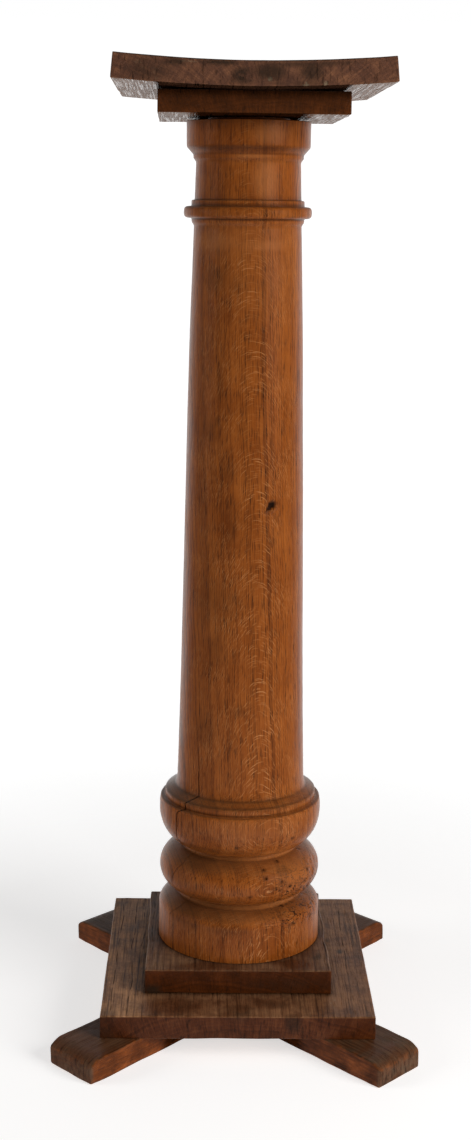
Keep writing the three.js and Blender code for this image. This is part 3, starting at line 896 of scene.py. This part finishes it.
floor_radius = 4.0
floor_sides = 96
around = np.linspace(0, 2 * math.pi, floor_sides, endpoint=False)
floor_mesh = bpy.data.meshes.new("floor")
floor_mesh.from_pydata([(floor_radius * math.cos(a), floor_radius * math.sin(a), 0) for a in around],
                       [], [list(range(floor_sides))])
floor = add_object("floor", floor_mesh)
# Matt white paper that glows a little, so that it's as even as in the photograph, and fades into
# the white room.
paper = bpy.data.materials.new("white_paper")
tree = blank_tree(paper)
matt = node(tree, "BsdfPrincipled", {
    "Base Color": linear("e6e4e2"), "Roughness": 0.9, "Specular IOR Level": 0.1,
    "Emission Color": linear("ffffff"), "Emission Strength": 0.62})
away = node(tree, "VectorMath", {0: node(tree, "NewGeometry").outputs["Position"]},
            operation="LENGTH").outputs["Value"]
fade = node(tree, "MapRange", {"Value": away, "From Min": 0.42, "From Max": 1.1})
clear = node(tree, "BsdfTransparent")
sheet = node(tree, "MixShader", {0: fade, 1: matt, 2: clear})
node(tree, "OutputMaterial", {"Surface": sheet})
floor_mesh.materials.append(paper)
# The wax doesn't mirror the floor.
floor.visible_glossy = False


# Light
# A large soft light stands to the front right, and a weaker one at the left. The room is white.

middle_height = 0.55


def soft_light(name, bearing, rise, distance, size, power):
    """An area light that looks at the middle of the column, by degrees right of the front."""
    data = bpy.data.lights.new(name, "AREA")
    data.shape = "RECTANGLE"
    data.size, data.size_y = size
    data.energy = power
    lamp = add_object(name, data)
    # Left out of reflections, so that only the white backdrop shines in the wax.
    lamp.visible_glossy = False
    right_turn, lift = math.radians(bearing), math.radians(rise)
    way = np.array([math.sin(right_turn) * math.cos(lift), -math.cos(right_turn) * math.cos(lift),
                    math.sin(lift)])
    lamp.location = way * distance + (0, 0, middle_height)
    aim = -way / np.linalg.norm(way)
    side = np.cross(aim, (0, 0, 1))
    side /= np.linalg.norm(side)
    turn = np.stack([side, np.cross(side, aim), -aim], 1)
    lamp.rotation_euler = Matrix(turn.tolist()).to_euler()


soft_light("key", bearing=52, rise=14, distance=2.6, size=(1.4, 1.8), power=59)
soft_light("fill", bearing=-78, rise=10, distance=2.8, size=(1.2, 1.8), power=25)

# The picture sees white all round. The column is lit by a room that is bright behind it, less so
# higher up, and dim in front.
world = bpy.data.worlds.new("white_room")
bpy.context.scene.world = world
tree = blank_tree(world)
seen = node(tree, "LightPath").outputs["Is Camera Ray"]
toward = node(tree, "SeparateXYZ", {0: node(tree, "TexCoord").outputs["Generated"]}).outputs
behind = node(tree, "MapRange", {"Value": toward["Y"], "From Min": 0.3, "From Max": 0.9,
                                 "To Min": 0.07, "To Max": 1.1}, interpolation_type="SMOOTHSTEP")
overhead = node(tree, "MapRange", {"Value": toward["Z"], "From Min": 0.02, "From Max": 0.42,
                                   "To Min": 1.0, "To Max": 0.25}, interpolation_type="SMOOTHSTEP")
behind = node(tree, "Math", {0: behind, 1: overhead}, operation="MULTIPLY")
bright = node(tree, "Math", {0: seen, 1: behind}, operation="MAXIMUM")
room = node(tree, "Background", {"Color": linear("ffffff"), "Strength": bright})
node(tree, "OutputWorld", {"Surface": room})
bpy.context.scene.view_settings.view_transform = "Standard"


# Camera
# At the photograph's viewing angle: a long lens a little over the middle of the shaft.

camera_data = bpy.data.cameras.new("camera")
camera_data.lens = 52.957
camera_data.sensor_width = 36.0
camera_data.shift_y = -0.1857
camera = add_object("camera", camera_data)
camera_place = (-0.03686, -1.89537, 0.93018)
# It looks down by the pitch, to the right by the yaw, and is rolled a little, all in radians.
pitch = math.radians(5.287)
yaw = 0.0163
roll = 0.0127
ahead = np.array([math.sin(yaw) * math.cos(pitch), math.cos(yaw) * math.cos(pitch), -math.sin(pitch)])
level_right = np.array([math.cos(yaw), -math.sin(yaw), 0.0])
level_up = np.cross(level_right, ahead)
right_way = math.cos(roll) * level_right + math.sin(roll) * level_up
up_way = math.cos(roll) * level_up - math.sin(roll) * level_right
pose = Matrix(np.stack([right_way, up_way, -ahead], 1).tolist()).to_4x4()
pose.translation = camera_place
camera.matrix_world = pose
bpy.context.scene.camera = camera
